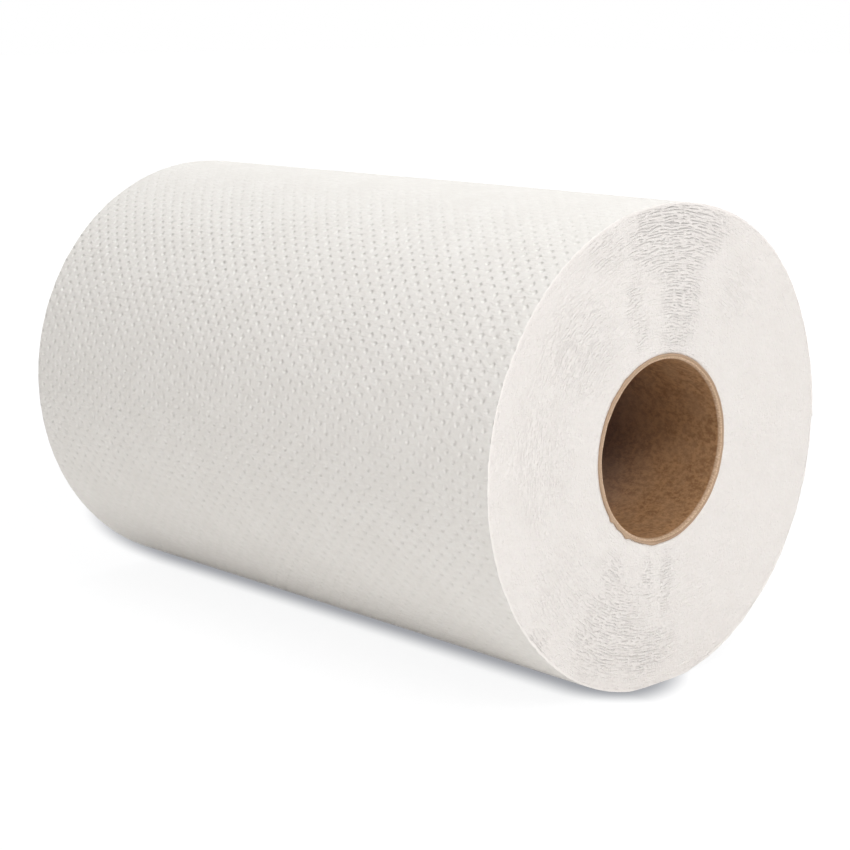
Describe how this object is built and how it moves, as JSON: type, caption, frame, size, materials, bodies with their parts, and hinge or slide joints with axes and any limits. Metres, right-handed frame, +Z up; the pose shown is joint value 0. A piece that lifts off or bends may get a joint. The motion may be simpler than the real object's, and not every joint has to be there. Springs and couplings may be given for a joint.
{
  "type": "paper towel roll",
  "caption": "Wide roll of embossed white paper towel wound on a paperboard core, lying on its side, with a smooth round bore through it.",
  "frame": {"origin": "on the surface that the roll lies on, under the middle of its length and width, at the centre of its flat spot", "axes": "+X along the roll's axis, out of the end that the picture shows, +Z up, +Y towards the rear, where the sheet's loose end lies; -Y is the front"},
  "size_m": [0.2, 0.133, 0.1321],
  "materials": {
    "towel_paper": "matte, soft, embossed",
    "paperboard": "matte, fibrous"
  },
  "bodies": {
    "root": {"towel_roll": "towel_paper", "core_tube": "paperboard"}
  },
  "joints": []
}
